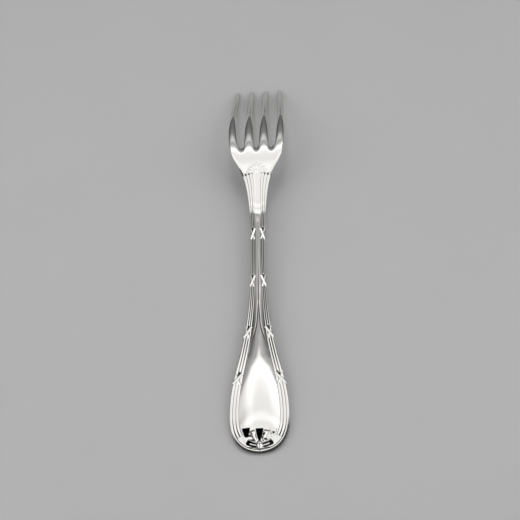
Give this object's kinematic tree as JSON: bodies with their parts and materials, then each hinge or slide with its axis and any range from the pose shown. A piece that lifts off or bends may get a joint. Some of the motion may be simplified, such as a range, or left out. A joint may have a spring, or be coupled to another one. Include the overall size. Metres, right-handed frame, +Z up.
{
  "type": "baby fork",
  "caption": "Small silver table fork for a child, with slender tines and a reeded handle tied with crossed ribbons and finished with a leaf palmette.",
  "frame": {"origin": "on the table under the middle of the fork's bounding box, as it lies face down", "axes": "+Y along the fork from the handle end to the tine tips, +X to the right seen from the handle end, +Z up through the back of the fork"},
  "size_m": [0.0198, 0.1458, 0.0124],
  "materials": {
    "polished_silver": "mirror-polished silver plate",
    "chased_silver": "struck and polished silver plate, darker in its recesses"
  },
  "bodies": {
    "root": {"palm": "polished_silver", "tine_outer_left": "polished_silver", "tine_inner_left": "polished_silver", "tine_inner_right": "polished_silver", "tine_outer_right": "polished_silver", "handle_panel": "polished_silver", "stem_rib": "polished_silver", "neck_ridge": "polished_silver", "reed_rim": "polished_silver", "reed_middle_left": "polished_silver", "reed_middle_right": "polished_silver", "reed_inner_left": "polished_silver", "reed_inner_right": "polished_silver", "ribbon_tie_1_left": "chased_silver", "ribbon_tie_1_right": "chased_silver", "ribbon_tie_2_left": "chased_silver", "ribbon_tie_2_right": "chased_silver", "ribbon_tie_3_left": "chased_silver", "ribbon_tie_3_right": "chased_silver", "ribbon_tie_4_left": "chased_silver", "ribbon_tie_4_right": "chased_silver", "neck_fan_back": "chased_silver", "neck_fan_front": "chased_silver", "end_palmette_back": "chased_silver", "end_palmette_front": "chased_silver"}
  },
  "joints": []
}
